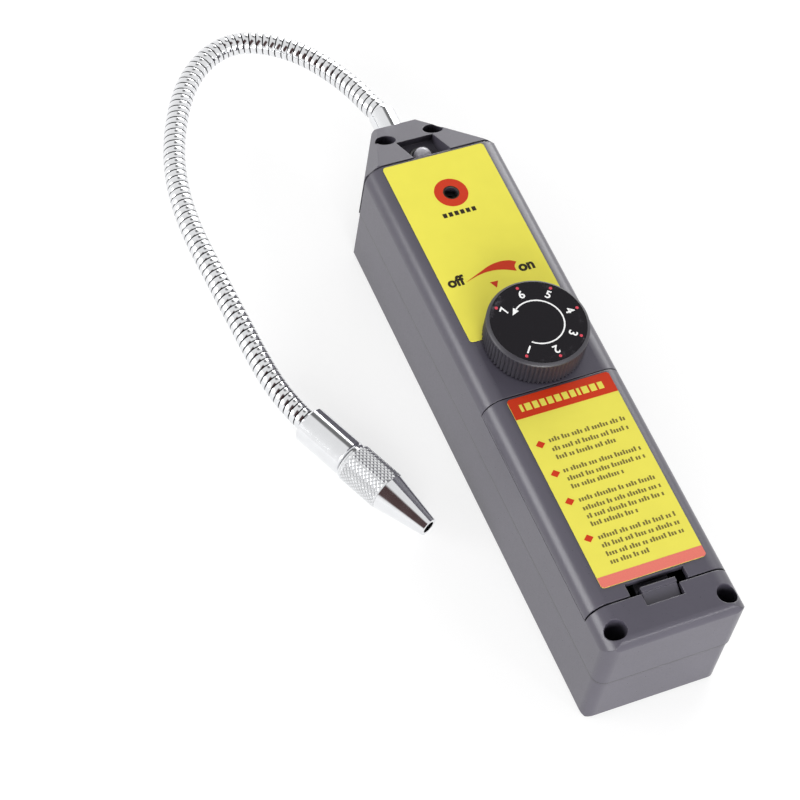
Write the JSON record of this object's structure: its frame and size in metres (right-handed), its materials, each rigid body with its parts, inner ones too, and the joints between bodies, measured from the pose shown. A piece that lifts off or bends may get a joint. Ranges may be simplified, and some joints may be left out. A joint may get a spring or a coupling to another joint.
{
  "type": "refrigerant leak detector",
  "caption": "Hand-held refrigerant leak detector: a two-shell case with a sensitivity knob, sounder, lamp and battery door, and a sensing tip on a ridged metal gooseneck.",
  "frame": {"origin": "middle of the flat back face of the case's straight part, where the part rests on a table", "axes": "+X across the case to the right seen from the front, +Y from the battery end towards the nose, +Z out of the front panel"},
  "size_m": [0.0873, 0.2328, 0.0481],
  "materials": {
    "case_plastic": "fine matt moulded ABS, dark grey",
    "label_film": "printed vinyl label, yellow with red and dark print",
    "knob_plastic": "satin moulded plastic with grip ribs",
    "dial_plastic": "glossy black plate with printed scale",
    "black_plastic": "moulded black plastic",
    "aluminium_metal": "turned aluminium",
    "plated_metal": "nickel-plated steel",
    "chrome_metal": "polished chrome plate",
    "brass_metal": "turned brass",
    "board_laminate": "glass laminate with green solder mask",
    "clear_lens": "clear moulded resin",
    "cell_sleeve": "plain printed steel can",
    "red_insulation": "soft wire insulation",
    "white_insulation": "soft wire insulation",
    "white_ceramic": "unglazed ceramic"
  },
  "bodies": {
    "case": {"front_shell": "case_plastic", "rear_shell": "case_plastic", "face_label": "label_film", "pot_body": "plated_metal", "pot_washer": "plated_metal", "pot_nut": "plated_metal", "circuit_board": "board_laminate", "transformer": "black_plastic", "capacitor": "black_plastic", "control_chip": "black_plastic", "buzzer": "black_plastic", "indicator_led": "clear_lens", "led_holder": "black_plastic", "cell_1": "cell_sleeve", "cell_2": "cell_sleeve", "cell_3": "cell_sleeve", "cell_4": "cell_sleeve", "contact_spring_1": "plated_metal", "contact_spring_2": "plated_metal", "contact_spring_3": "plated_metal", "contact_spring_4": "plated_metal", "bottom_plate_left": "plated_metal", "bottom_plate_right": "plated_metal", "top_bridge_plate": "plated_metal", "top_terminal_left": "plated_metal", "top_terminal_right": "plated_metal", "battery_lead_red": "red_insulation", "battery_lead_black": "black_plastic", "probe_lead": "white_insulation", "case_screws": "plated_metal", "board_screws": "plated_metal", "probe_ferrule": "chrome_metal", "gooseneck": "chrome_metal", "tip_socket": "chrome_metal", "sensor_base": "white_ceramic", "sensor_needle": "plated_metal", "sensor_collar": "brass_metal"},
    "door": {"battery_door": "case_plastic", "door_label": "label_film"},
    "knob": {"sensitivity_knob": "knob_plastic", "dial_plate": "dial_plastic", "pot_shaft": "aluminium_metal"},
    "tip": {"tip_cover": "chrome_metal"}
  },
  "joints": [
    {"name": "knob_turn", "type": "hinge", "parent": "case", "child": "knob", "pos_m": [0.0005, 0.0118, 0.0395], "axis": [0, 0, 1], "range_deg": [-45, 255]},
    {"name": "door_swing", "type": "hinge", "parent": "case", "child": "door", "pos_m": [0, -0.0023, 0.039], "axis": [-1, 0, 0], "range_deg": [0, 70]},
    {"name": "tip_draw", "type": "slide", "parent": "case", "child": "tip", "axis": [0.4067, -0.9135, 0], "range_m": [0, 0.03]}
  ]
}
